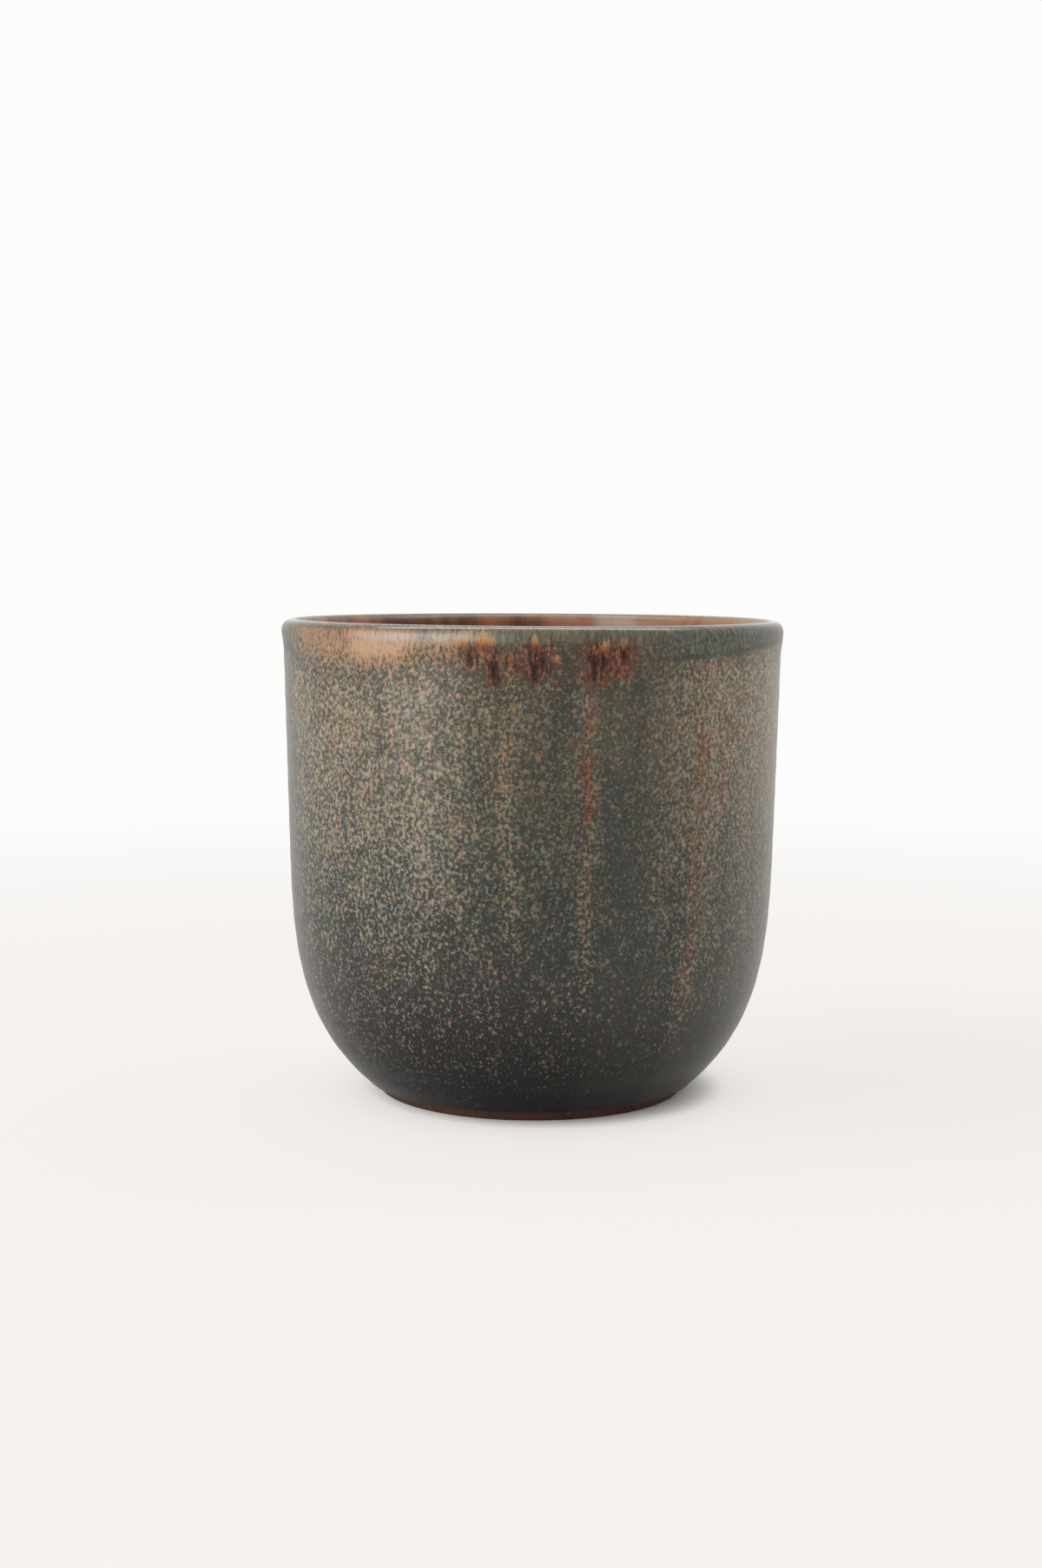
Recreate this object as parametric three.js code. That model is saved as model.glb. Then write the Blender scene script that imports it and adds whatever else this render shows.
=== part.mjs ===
// A handleless stoneware coffee cup: one thrown clay body under three fired glaze coats.
// Millimetres, +Z up. The origin is the centre of the circle that the foot rests on.
// Azimuth 0 is the front of the cup, on -Y, and azimuth grows towards +X.

import * as THREE from "three";

const { degToRad } = THREE.MathUtils;

// Clay wall and lip
const CUP_HEIGHT = 79.9; // from the foot's resting face to the crest of the lip
const RIM_RADIUS = 41.8; // outside of the wall, where the round of the lip starts
const WALL_LEAN = degToRad(1.5); // the wall opens towards the rim
const WALL_THICKNESS = 3.4; // where the straight wall meets the belly
const LIP_THICKNESS = 2.4; // the lip is a full round of this diameter

// Clay belly, one curve outside and one inside
const BELLY_HEIGHT = 42; // the belly ends and the straight wall starts
const BELLY_ANGLE = degToRad(38); // the belly leaves the foot at this angle above the table
const BELLY_FOOT_PULL = 16; // how long the curve keeps to its direction at the foot
const BELLY_WALL_PULL = 15.5; // and at the wall
const FLOOR_THICKNESS = 5;
const FLOOR_RADIUS = 19; // flat part of the floor inside
const FLOOR_PULL = 14; // how long the inner curve keeps to the floor
const INNER_WALL_PULL = 20; // and to the inner wall

// Bare foot, turned from the same clay
const FOOT_RADIUS = 26.4;
const FOOT_HEIGHT = 1.9; // the bare band between the table and the belly
const FOOT_FLARE = 0.8; // the band opens by this much on its way up
const FOOT_BEVEL = 0.5; // sponged lower edge
const FOOT_RING_WIDTH = 4.6; // from the bevel to the recess, along the table
const FOOT_RECESS = 1.8; // depth of the hollow under the cup
const RECESS_SLOPE = 1.4; // how far the ring's inner side leans in

// Glaze coats
const GLAZE_THICKNESS = 0.4; // outer coat and liner coat
const GLAZE_GAP = 0.08; // left between a coat and what it is fused to
const GLAZE_STOP = 0.3; // bare clay left on the belly above the foot band
const GLAZE_ROLL = 0.25; // the outer coat runs down and thickens above its edge by this much
const GLAZE_ROLL_REACH = 3; // how far up the roll is felt
const GLAZE_EDGE = 0.3; // length over which a coat rounds off at its edge
const RIM_GLAZE_THICKNESS = 0.2; // second dip, over the lip and over both first coats
const RIM_GLAZE_DEPTH = 5.2; // below the crest on the outside, between the drips
const RIM_GLAZE_INNER_DEPTH = 9; // below the crest on the inside
const CREST_GAP = 0.15; // between the outer coat and the liner coat on the crest of the lip

// Drips of the rim glaze: where each hangs, and its size next to an ordinary drip's
const DRIP_WIDTH = 15; // at the root
const DRIP_LENGTH = 5.5; // below the even depth
const DRIPS = [
  { azimuth: -41, widths: 3.4, lengths: 0.5 },
  { azimuth: -6, widths: 0.9, lengths: 0.9 },
  { azimuth: 19, widths: 1, lengths: 1 },
  { azimuth: 96, widths: 2, lengths: 0.45 },
  { azimuth: 132, widths: 0.95, lengths: 1.1 },
  { azimuth: 170, widths: 1.5, lengths: 0.6 },
  { azimuth: -148, widths: 1, lengths: 1 },
  { azimuth: -108, widths: 1.9, lengths: 0.5 },
];

// Facets
const SEGMENTS = 56; // around the clay and the first coats
const RIM_SEGMENTS = 96; // around the rim glaze, for the shape of its drips
const BELLY_STEPS = 9;
const INNER_BELLY_STEPS = 7;
const LIP_STEPS = 3; // on each side of the crest
const SKIRT_STEPS = 3; // down the rim glaze on the outside

// Colours of the fired clay and glazes
const clayMaterial = new THREE.MeshStandardMaterial({ color: 0x5b3a2e, roughness: 0.9, metalness: 0 });
const outerMaterial = new THREE.MeshStandardMaterial({ color: 0x4a4b45, roughness: 0.5, metalness: 0 });
const linerMaterial = new THREE.MeshStandardMaterial({ color: 0x80523a, roughness: 0.3, metalness: 0 });
const rimMaterial = new THREE.MeshStandardMaterial({ color: 0x8a6a4c, roughness: 0.4, metalness: 0 });

// Outline of the clay. Each point is a radius and a height.
const lipRound = LIP_THICKNESS / 2;
const lipCentre = new THREE.Vector2(RIM_RADIUS - lipRound * Math.cos(WALL_LEAN), CUP_HEIGHT - lipRound);
const wallTop = onLip(-WALL_LEAN);
const wallFoot = new THREE.Vector2(wallRadius(BELLY_HEIGHT), BELLY_HEIGHT);
const innerWallFoot = new THREE.Vector2(wallFoot.x - WALL_THICKNESS, BELLY_HEIGHT);
const innerLipAngle = innerTangentAngle();
const innerWallTop = onLip(innerLipAngle);
const footTop = new THREE.Vector2(FOOT_RADIUS + FOOT_FLARE, FOOT_HEIGHT);
const floorHeight = FOOT_RECESS + FLOOR_THICKNESS;
const floorEdge = new THREE.Vector2(FLOOR_RADIUS, floorHeight);

// A point on the round of the lip, by its angle above the outward direction.
function onLip(angle) {
  const spoke = new THREE.Vector2(Math.cos(angle), Math.sin(angle));
  return spoke.multiplyScalar(lipRound).add(lipCentre);
}

// Outside radius of the straight wall at a height.
function wallRadius(height) {
  return wallTop.x - (wallTop.y - height) * Math.tan(WALL_LEAN);
}

// The angle at which a line from the inner belly's top touches the round of the lip.
function innerTangentAngle() {
  const down = innerWallFoot.clone().sub(lipCentre);
  return down.angle() - Math.acos(lipRound / down.length());
}

// A quarter-round curve between two points that keeps to a given direction at each end.
function easedCurve(start, startDirection, startPull, end, endDirection, endPull) {
  const startHandle = startDirection.clone().setLength(startPull).add(start);
  const endHandle = endDirection.clone().setLength(-endPull).add(end);
  return new THREE.CubicBezierCurve(start, startHandle, endHandle, end);
}

function lipArc(fromAngle, toAngle) {
  return new THREE.EllipseCurve(lipCentre.x, lipCentre.y, lipRound, lipRound, fromAngle, toAngle);
}

// The glazed side of the clay as one smooth path: up the outside, over the lip, down to the floor.
const crestAngle = Math.PI / 2;
const crestTurn = CREST_GAP / 2 / lipRound; // half of the gap on the crest, as a turn round the lip
const belly = easedCurve(
  footTop,
  new THREE.Vector2(Math.cos(BELLY_ANGLE), Math.sin(BELLY_ANGLE)),
  BELLY_FOOT_PULL,
  wallFoot,
  wallTop.clone().sub(wallFoot),
  BELLY_WALL_PULL,
);
const innerBelly = easedCurve(
  innerWallFoot,
  innerWallFoot.clone().sub(innerWallTop),
  INNER_WALL_PULL,
  floorEdge,
  new THREE.Vector2(-1, 0),
  FLOOR_PULL,
);
const glazedCurves = [
  { curve: belly, steps: BELLY_STEPS },
  { curve: new THREE.LineCurve(wallFoot, wallTop), steps: 1 },
  { curve: lipArc(-WALL_LEAN, crestAngle - crestTurn), steps: LIP_STEPS },
  { curve: lipArc(crestAngle - crestTurn, crestAngle + crestTurn), steps: 1 },
  { curve: lipArc(crestAngle + crestTurn, innerLipAngle), steps: LIP_STEPS },
  { curve: new THREE.LineCurve(innerWallTop, innerWallFoot), steps: 1 },
  { curve: innerBelly, steps: INNER_BELLY_STEPS },
  { curve: new THREE.LineCurve(floorEdge, new THREE.Vector2(0, floorHeight)), steps: 1 },
];
const glazedSide = new THREE.CurvePath();
glazedCurves.forEach(({ curve }) => glazedSide.add(curve));
const curveEnds = glazedSide.getCurveLengths();
const pathLength = glazedSide.getLength();
const [, wallEnd, outerCoatEnd, linerCoatStart, lipEnd] = curveEnds;
const crest = (outerCoatEnd + linerCoatStart) / 2;

// Distances along the glazed side at which every piece has a ring of points.
const stations = [0];
glazedCurves.forEach(({ steps }, index) => {
  const start = index === 0 ? 0 : curveEnds[index - 1];
  for (let step = 1; step <= steps; step++) {
    stations.push(start + ((curveEnds[index] - start) * step) / steps);
  }
});

// The stations between two distances, with those two as the first and the last.
function stationsBetween(start, end) {
  return [start, ...stations.filter((station) => station > start && station < end), end];
}

// A point over the glazed side of the clay, at a distance along it and a lift off its surface.
function overClay(distance, lift) {
  const share = Math.min(1, distance / pathLength);
  const tangent = glazedSide.getTangent(share);
  const point = glazedSide.getPoint(share);
  return new THREE.Vector2(Math.max(0, point.x + tangent.y * lift), point.y - tangent.x * lift);
}

// A closed profile of a coat, from its fused side to its free side, listed from the path's end to its start.
function coatProfile(distances, fusedLift, freeLift) {
  const fused = distances.map((distance) => overClay(distance, fusedLift));
  const free = distances.map((distance) => overClay(distance, freeLift(distance)));
  return [...fused.reverse(), ...free];
}

// Turns a profile, which may change with the azimuth, round the cup's axis.
function turned(profileAt, closed, segments) {
  const outlineAt = (azimuth) => {
    const outline = profileAt(azimuth);
    return closed ? [...outline, outline[0]] : outline;
  };
  const ringCount = outlineAt(0).length;
  const geometry = new THREE.LatheGeometry(outlineAt(0), segments);
  const position = geometry.getAttribute("position");
  for (let segment = 0; segment <= segments; segment++) {
    const azimuth = ((segment % segments) / segments) * 2 * Math.PI;
    outlineAt(azimuth).forEach((point, ring) => {
      const across = point.x * Math.sin(azimuth);
      const forward = point.x * Math.cos(azimuth);
      position.setXYZ(segment * ringCount + ring, across, point.y, forward);
    });
  }
  geometry.rotateX(Math.PI / 2); // the lathe turns round Y, and the cup stands along Z
  geometry.computeVertexNormals();
  return geometry;
}

// The clay body: the bare foot and the hollow under it, then the glazed side.
function clayProfile() {
  const ringOuter = FOOT_RADIUS - FOOT_BEVEL;
  const ringInner = ringOuter - FOOT_RING_WIDTH;
  const underside = [
    new THREE.Vector2(0, FOOT_RECESS),
    new THREE.Vector2(ringInner - RECESS_SLOPE, FOOT_RECESS),
    new THREE.Vector2(ringInner, 0),
    new THREE.Vector2(ringOuter, 0),
    new THREE.Vector2(FOOT_RADIUS, FOOT_BEVEL),
  ];
  return [...underside, ...stations.map((station) => overClay(station, 0))];
}

// Thickness of a coat that rounds off within a short length of an edge.
function rounded(thickness, distanceFromEdge) {
  const share = Math.min(1, distanceFromEdge / GLAZE_EDGE);
  return thickness * Math.sqrt(1 - (1 - share) ** 2);
}

// The outer coat, from its thick roll above the foot to the crest of the lip.
function outerGlazeProfile() {
  const start = GLAZE_STOP;
  const edgeStations = [start, start + GLAZE_EDGE / 3, start + GLAZE_EDGE];
  const distances = [...edgeStations, ...stationsBetween(start + GLAZE_EDGE, outerCoatEnd).slice(1)];
  const freeLift = (distance) => {
    const roll = GLAZE_ROLL * Math.exp(-(distance - start) / GLAZE_ROLL_REACH);
    return GLAZE_GAP + rounded(GLAZE_THICKNESS + roll, distance - start);
  };
  return coatProfile(distances, GLAZE_GAP, freeLift);
}

// The liner coat, from the crest of the lip to the middle of the floor.
function linerGlazeProfile() {
  const distances = stationsBetween(linerCoatStart, pathLength);
  return coatProfile(distances, GLAZE_GAP, () => GLAZE_GAP + GLAZE_THICKNESS);
}

// How far the rim glaze reaches down the outside at an azimuth: its even depth and the longest drip there.
function rimGlazeReach(azimuth) {
  const runs = DRIPS.map(({ azimuth: middle, widths, lengths }) => {
    const turn = azimuth - degToRad(middle);
    const away = Math.atan2(Math.sin(turn), Math.cos(turn)) * RIM_RADIUS;
    const share = Math.min(1, Math.abs(away) / ((widths * DRIP_WIDTH) / 2));
    return lengths * DRIP_LENGTH * Math.cos((share * Math.PI) / 2) ** 2;
  });
  return RIM_GLAZE_DEPTH + Math.max(0, ...runs);
}

// The rim glaze lies over both first coats, and its outer edge hangs in drips.
function rimGlazeProfile(azimuth) {
  const start = crest - rimGlazeReach(azimuth);
  const end = crest + RIM_GLAZE_INNER_DEPTH;
  const skirt = Array.from({ length: SKIRT_STEPS }, (_, step) => {
    const share = step / SKIRT_STEPS;
    return start + GLAZE_EDGE + (wallEnd - start - GLAZE_EDGE) * share;
  });
  const overLip = stationsBetween(wallEnd, lipEnd);
  const distances = [start, ...skirt, ...overLip, end - GLAZE_EDGE, end];
  const fusedLift = 2 * GLAZE_GAP + GLAZE_THICKNESS;
  const freeLift = (distance) => {
    const fromEdge = Math.min(distance - start, end - distance);
    return fusedLift + rounded(RIM_GLAZE_THICKNESS, fromEdge + GLAZE_EDGE / 6);
  };
  return coatProfile(distances, fusedLift, freeLift);
}

function piece(name, geometry, material) {
  const mesh = new THREE.Mesh(geometry, material);
  mesh.name = name;
  return mesh;
}

const cup = new THREE.Group();
cup.add(
  piece("stoneware_body", turned(clayProfile, false, SEGMENTS), clayMaterial),
  piece("outer_glaze", turned(outerGlazeProfile, true, SEGMENTS), outerMaterial),
  piece("liner_glaze", turned(linerGlazeProfile, false, SEGMENTS), linerMaterial),
  piece("rim_glaze", turned(rimGlazeProfile, true, RIM_SEGMENTS), rimMaterial),
);

export default cup;
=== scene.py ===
"""A handleless stoneware coffee cup: bare clay foot, speckled outer glaze, brown liner, dripping rim glaze.

The cup's sizes are in millimetres and become metres in its meshes; the stage is in metres. Azimuth 0 is the
front of the cup, on -Y, and azimuth grows towards +X. Depth is the distance down the outside from the crest
of the lip, and height is measured from the table. A palette's colours are as seen, each channel 0 to 255.
"""

import math
from types import SimpleNamespace

import bpy
import numpy as np
from mathutils import Matrix, Vector


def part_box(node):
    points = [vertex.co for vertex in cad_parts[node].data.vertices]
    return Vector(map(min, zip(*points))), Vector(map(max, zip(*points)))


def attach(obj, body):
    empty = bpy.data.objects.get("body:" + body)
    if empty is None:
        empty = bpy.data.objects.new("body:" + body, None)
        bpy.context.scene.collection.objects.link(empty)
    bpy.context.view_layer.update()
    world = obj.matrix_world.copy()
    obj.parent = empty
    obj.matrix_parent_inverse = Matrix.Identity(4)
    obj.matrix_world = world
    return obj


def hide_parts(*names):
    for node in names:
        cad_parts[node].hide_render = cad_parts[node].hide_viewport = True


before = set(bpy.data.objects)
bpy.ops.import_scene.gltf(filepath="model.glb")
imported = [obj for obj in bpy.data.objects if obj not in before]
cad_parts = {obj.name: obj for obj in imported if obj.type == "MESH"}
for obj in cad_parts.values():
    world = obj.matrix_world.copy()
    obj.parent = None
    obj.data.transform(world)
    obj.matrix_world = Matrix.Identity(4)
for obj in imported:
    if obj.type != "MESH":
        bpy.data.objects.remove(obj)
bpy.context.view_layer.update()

MM = 0.001

# Clay, as its solid has it
_, clay_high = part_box("stoneware_body")
CUP_HEIGHT = clay_high.z / MM
RIM_RADIUS = clay_high.x / MM
WALL_LEAN = math.radians(1.5)
WALL_THICKNESS = 3.4
LIP_THICKNESS = 2.4
BELLY_HEIGHT = 42
BELLY_ANGLE = math.radians(38)
BELLY_FOOT_PULL = 16
BELLY_WALL_PULL = 15.5
FLOOR_THICKNESS = 5
FLOOR_RADIUS = 19
FLOOR_PULL = 14
INNER_WALL_PULL = 20
FOOT_RADIUS = 26.4
FOOT_HEIGHT = 1.9
FOOT_FLARE = 0.8
FOOT_BEVEL = 0.5
FOOT_RING_WIDTH = 4.6
FOOT_RECESS = 1.8
RECESS_SLOPE = 1.4

# Glaze coats, as lifts off the clay and lengths along it
BOND_LIFT = 0.01
GLAZE_LIFT = 0.48
RIM_LIFT = 0.76
RIM_SINK = 0.02
RIM_EDGE = 0.01
GLAZE_STOP = 0.3
GLAZE_ROLL = 0.25
GLAZE_ROLL_REACH = 3
GLAZE_EDGE = 0.4
GLAZE_UNDERCUT = 0.05
CREST_GAP = 0.1
LIP_REACH = 2.2
RIM_GLAZE_DEPTH = 5.2
RIM_GLAZE_INNER_DEPTH = 9
RIM_FEATHER = 3.5
RUST_RELIEF = 0.07

# Unevenness of the hand-thrown wall: its size, the shares in it of an oval, of lobes and of throwing rings,
# and the rings' spacing
UNEVENNESS = 0.05
OVAL_SHARE = 0.5
LOBES_SHARE = 0.3
RINGS_SHARE = 0.35
RING_SPACING = 5.5

# Drips of the rim glaze: azimuth in degrees, then widths and lengths next to an ordinary drip's
DRIP_WIDTH = 15
DRIP_LENGTH = 5.5
DRIPS = [
    (-41, 3.4, 0.5),
    (-6, 0.9, 0.9),
    (19, 1, 1),
    (96, 2, 0.45),
    (132, 0.95, 1.1),
    (170, 1.5, 0.6),
    (-148, 1, 1),
    (-108, 1.9, 0.5),
]

# Sides of the cup that differ: azimuth, half width and softness in degrees, then strength
AMBER_WASHES = [
    (-34, 11, 14.3, 1),
    (-54, 13, 16.9, 0.75),
    (-17, 8, 10.4, 0.8),
    (100, 22, 28.6, 0.8),
    (134, 9, 11.7, 0.5),
    (174, 16, 20.8, 0.6),
    (-148, 9, 11.7, 0.5),
    (-106, 20, 26, 0.9),
]
# The first dark side, on the front, is partly darker glaze and partly painted shade of the front wall
DARK_SIDES = [(9, 23, 24, 1), (150, 16, 20, 0.9), (-80, 12, 20, 0.8)]
WARM_SIDES = [(58, 24, 16, 1), (-128, 26, 20, 1)]
# Misty sides pale the darks between the crystals high up; on the upper left this is partly a painted sheen
MISTY_SIDES = [(-34, 15, 14, 0.12), (24, 12, 12, 0.16)]

# Single places: azimuth, half width and softness in degrees
PALE_FRONT = (-2, 16, 18)
BLUSH_FRONT = (8, 16, 10)
MISTY_FRONT = (24, 10, 10)
WARM_BACK = (180, 18, 18)
UMBER_LEFT = (-25, 35, 40)
# Painted sheen: the window's pale reflection, painted below the lip on the left
PAINTED_SHEEN_LEFT = (-22, 15, 16)
LINED_LEFT = (-40, 28, 28)
DIM_LEFT = (-62, 14, 16)
# Painted reflection: a pale patch inside, below the lip
PAINTED_REFLECTION_INSIDE = (156.5, 6, 4)

# Burnt patches below the lip, with their orange tips and black drips: azimuth and half width in degrees,
# first and last depth, strength
BURNT_PATCHES = [
    (-12.2, 4.6, 2.2, 7.2, 0.9),
    (-8.4, 2, 3.2, 9.6, 1.2),
    (-5.2, 1.8, 3.8, 7, 0.9),
    (0.8, 3.4, 2.2, 9.4, 1.15),
    (13.6, 3.4, 2.2, 10, 1.25),
    (18.6, 3, 2.4, 8.6, 1.15),
]
ORANGE_TIPS = [
    (-18, 1, 3.8, 6.2, 0.6),
    (-14.8, 2.2, 1.8, 4, 0.8),
    (-10, 2.9, 1.2, 4, 1.1),
    (-5.4, 1.8, 4.1, 6.4, 0.6),
    (0.3, 0.8, 1.6, 4, 0.8),
    (5, 1.1, 4.1, 6.6, 0.5),
    (14.8, 1.1, 1.9, 4.8, 1),
    (18.9, 0.8, 1.9, 4.4, 0.9),
]
BLACK_DRIPS = [
    (-13.4, 0.5, 3.8, 6.4, 0.75),
    (-11.6, 0.35, 4, 6.8, 0.75),
    (-8.3, 0.6, 5.2, 8.6, 1.05),
    (-5.6, 0.4, 4.2, 6.6, 0.9),
    (0.2, 0.5, 5.8, 9.2, 1.4),
    (1.9, 0.6, 4.4, 7, 1.1),
    (12.7, 0.5, 4.4, 8.8, 1.6),
    (14.5, 0.4, 4, 7, 1.3),
    (19, 0.4, 3.4, 5.8, 1.3),
]

# Turns of the cup, in degrees, at which those three lists come again, and how their strokes fade in and out
BURNT_TURNS = [0, 131, -152]
STROKE_FADES = [(-0.8, 1), (-2, 1)]

# Smooth bands below the lip: azimuth, half width, strength, depth of the lower edge, its slope per degree
SMOOTH_BANDS = [
    (52, 24, 1, 4.1, -0.045),
    (-165, 12, 0.9, 4.4, 0.03),
    (-78, 9, 0.7, 4.2, 0),
]

# Their softness next to the half width, the fade about the lower edge, and the width of the line along it
BAND_SOFTNESS = 0.7
BAND_FADE = (-1.4, 0.6)
BAND_LINE_WIDTH = 0.7

# Runs down the wall, of rust, of tan and of clear dark glaze: azimuth in degrees, width, first depth,
# last depth, strength
RUST_RUNS = [
    (12, 0.8, 10, 24, 1.1),
    (11.9, 0.8, 20, 38, 1.4),
    (12, 0.8, 36, 60, 0.6),
    (39.4, 1.5, 16, 36, 1),
    (38.6, 1.8, 32, 54, 0.65),
    (37.8, 2.2, 48, 72, 0.45),
    (47, 2, 14, 40, 0.45),
    (84, 1.8, 10, 55, 0.7),
    (112, 2.2, 16, 66, 0.6),
    (133, 1.3, 10, 50, 0.9),
    (171, 2.2, 12, 64, 0.6),
    (-148, 1.6, 10, 62, 0.9),
    (-120, 1.2, 16, 44, 0.5),
    (-92, 2.2, 12, 58, 0.45),
]
TAN_RUNS = [
    (-5.6, 2.6, 7, 26, 0.9),
    (-5.2, 1.4, 6, 58, 1.4),
    (12, 1.4, 10, 64, 1.2),
    (38.4, 2.4, 34, 56, 0.8),
    (37.6, 2.8, 48, 76, 1.2),
    (111, 2.4, 30, 72, 0.8),
    (170, 2.2, 20, 60, 0.8),
    (-147, 2, 12, 66, 0.9),
]
CLEAR_RUNS = [
    (7, 2.4, 6, 24, 1.1),
    (4.5, 2.6, 10, 36, 0.5),
    (23.4, 1.8, 8, 32, 1),
    (19.2, 2.4, 22, 54, 1),
    (50, 2.2, 30, 60, 0.7),
    (121, 2.2, 10, 50, 0.8),
    (160, 2.6, 14, 60, 0.8),
    (-135, 2.4, 10, 54, 0.9),
    (-100, 2, 14, 40, 0.6),
]

# How the runs fade in and out, how far they wander, over what depth, and how each one's start differs
RUN_FADES = [(-4, 3), (-16, 0)]
RUN_WANDER = 0.3
RUN_WAVE = 6.5
RUN_OFFSET = 1.7

# Crystals by height: the share of the wall that they cover, and their brightness
SPECKLE_COVER = [(2, 0.02), (10, 0.06), (17, 0.085), (25, 0.14), (39, 0.31), (48, 0.4), (66, 0.46)]
CRYSTAL_GLOW = [(4, 1.05), (20, 1.12), (40, 0.97), (62, 1.02)]
# On the warm sides the crystals dim low down and brighten high up, partly as painted shade and painted sheen
WARM_SIDE_GLOW = [(14, -0.24), (34, -0.1), (46, -0.1), (66, 0.1)]

# What the sides, the runs and the edges of the coats add to that cover or take from it
DARK_SIDE_LOSS = 0.38
WARM_SIDE_GAIN = 0.08
# Fewer crystals low on the warm sides, partly as painted shade
WARM_FOOT_LOSS = 0.05
RUST_GAIN = 0.08
TAN_GAIN = 0.12
CLEAR_LOSS = 0.12
DRIP_EDGE_LOSS = 0.14
BAND_LINE_LOSS = 0.12

# Middle and spread of the noise that the crystals grow on
LEVEL_MIDDLE = 0.61
LEVEL_SPREAD = 0.088

# How far the inside turns from maroon towards tan, by azimuth in degrees
INNER_TONES = [
    (0, -0.02), (60, 0.05), (100, 0.1), (148, 0.12), (163, 0.08), (182, 0.08),
    (187, -0.05), (205, -0.06), (250, -0.02), (310, 0.03), (360, -0.02),
]

# How much less the glaze's colour wanders in green than in red and blue
GREEN_SHARE = 0.45

# Span in which most of a noise lies
NOISE_SPAN = (0.3, 0.7)

# Gloss, roughness and depth of relief of the surfaces
WALL_GLOSS = 0.28
FOOT_GLOSS = 0.05
BURNT_GLOSS_SHARE = 0.3
LIP_GLOSS = 0.75
LINER_GLOSS = 0.5
CLAY_GLOSS = 0.3
GROUND_ROUGHNESS = 0.34
CRYSTAL_ROUGHNESS = 0.44
LINER_ROUGHNESS = (0.16, 0.28)
INNER_RIM_DULLING = 0.12
LIP_POLISH = 0.28
CLAY_ROUGHNESS = 0.85
OUTER_RELIEF = 0.05
RIM_RELIEF = 0.03
LINER_RELIEF = 0.03
CLAY_RELIEF = 0.12

# Thin clear skin on the outer glaze, which shows most where the wall turns away
SKIN_WEIGHT = 0.15
SKIN_ROUGHNESS = 0.25

# Edges that turn by more than this are shaded sharp
SHARP_ANGLE = math.radians(60)

# Points round each mesh, and rows of points along its parts
COLUMNS = 512
RIM_COLUMNS = 1344
CLAY_COLUMNS = 288
OUTER_EDGE_ROWS = 8
OUTER_WALL_ROWS = 168
OUTER_FUSED_ROWS = 14
RIM_SKIRT_ROWS = 34
RIM_LIP_ROWS = 20
RIM_INNER_ROWS = 9
RIM_FUSED_STEP = 6
LINER_ROWS = 150
LINER_FUSED_ROWS = 20
FOOT_LINE_ROWS = 24
CLAY_SIDE_ROWS = 130

# Map of each mesh: its name, its strips, the bare share at their ends, and
# the spans of a strip for a coat's free and fused sides, and for the clay's underside and glazed side
MAP_NAME = "OFBake"
WALL_STRIPS = 2
RIM_STRIPS = 4
MAP_MARGIN = 0.002
FREE_SPAN = (0.005, 0.955)
FUSED_SPAN = (0.965, 0.995)
UNDERSIDE_SPAN = (0.005, 0.6)
GLAZED_SPAN = (0.61, 0.995)

# Camera at the photograph's view: place, dip below the level and roll in degrees, and its lens
CAMERA_PLACE = (-0.0018, -0.3722, 0.0905)
CAMERA_DIP = 5.86
CAMERA_ROLL = 0.28
CAMERA_LENS = 50
CAMERA_SENSOR = 36
CAMERA_NEAREST = 0.01

# Lamps: name, place, width, height and power, all aimed at the cup's middle
LAMP_TARGET = (0, 0, 0.05)
LAMPS = [
    ("window", (-0.80, -0.62, 0.30), 0.7, 0.7, 7),
    ("ceiling", (0, 0.30, 0.95), 1.2, 0.09, 6),
]

# Light from around, by direction: nearly even, and dim from the room behind the camera
BACKGROUND_WHITE = (0.975, 0.975, 0.97, 1)
HORIZON_LEVEL = 1.1
ZENITH_LEVEL = 1
ROOM_DIRECTION = (-0.25, -0.97, 0)
ROOM_EDGES = (0.15, 0.8)
ROOM_LEVEL = 0.12

# Floor: half its side, its colour under the shadow, its white near the cup, and the distances over which
# that turns into the background's
FLOOR_REACH = 6
FLOOR_COLOUR = (0.83, 0.815, 0.80, 1)
NEAR_WHITE = (0.890, 0.860, 0.836, 1)
NEAR_WHITE_FADE = (0.08, 0.5)

# Shadow on the floor: the share of white over it by distance from the dark contact, and the faint shade
# beyond it, on the side away from the window
CONTACT_CENTRE = (0.0025, 0, 0)
WHITE_SHARES = [(0.0265, 0), (0.0285, 0.55), (0.032, 0.8), (0.04, 0.88), (0.06, 0.92), (0.13, 0.94), (0.6, 1)]
SHADE_CENTRE = (0.075, 0.01, 0)
SHADE_RADIUS = 0.09
SHADE_LEVEL = 0.94


# Outline of the clay


def polar(angle, length):
    return length * np.array([math.cos(angle), math.sin(angle)])


def unit(vector):
    return vector / np.linalg.norm(vector)


def straight(start, end, count=60):
    share = np.linspace(0, 1, count)[:, None]
    return start + (end - start) * share


def eased(start, start_handle, end_handle, end, count=240):
    """Points on a curve that leaves and arrives along its handles."""
    t = np.linspace(0, 1, count)[:, None]
    leaving = (1 - t) ** 3 * start + 3 * (1 - t) ** 2 * t * start_handle
    return leaving + 3 * (1 - t) * t**2 * end_handle + t**3 * end


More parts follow.
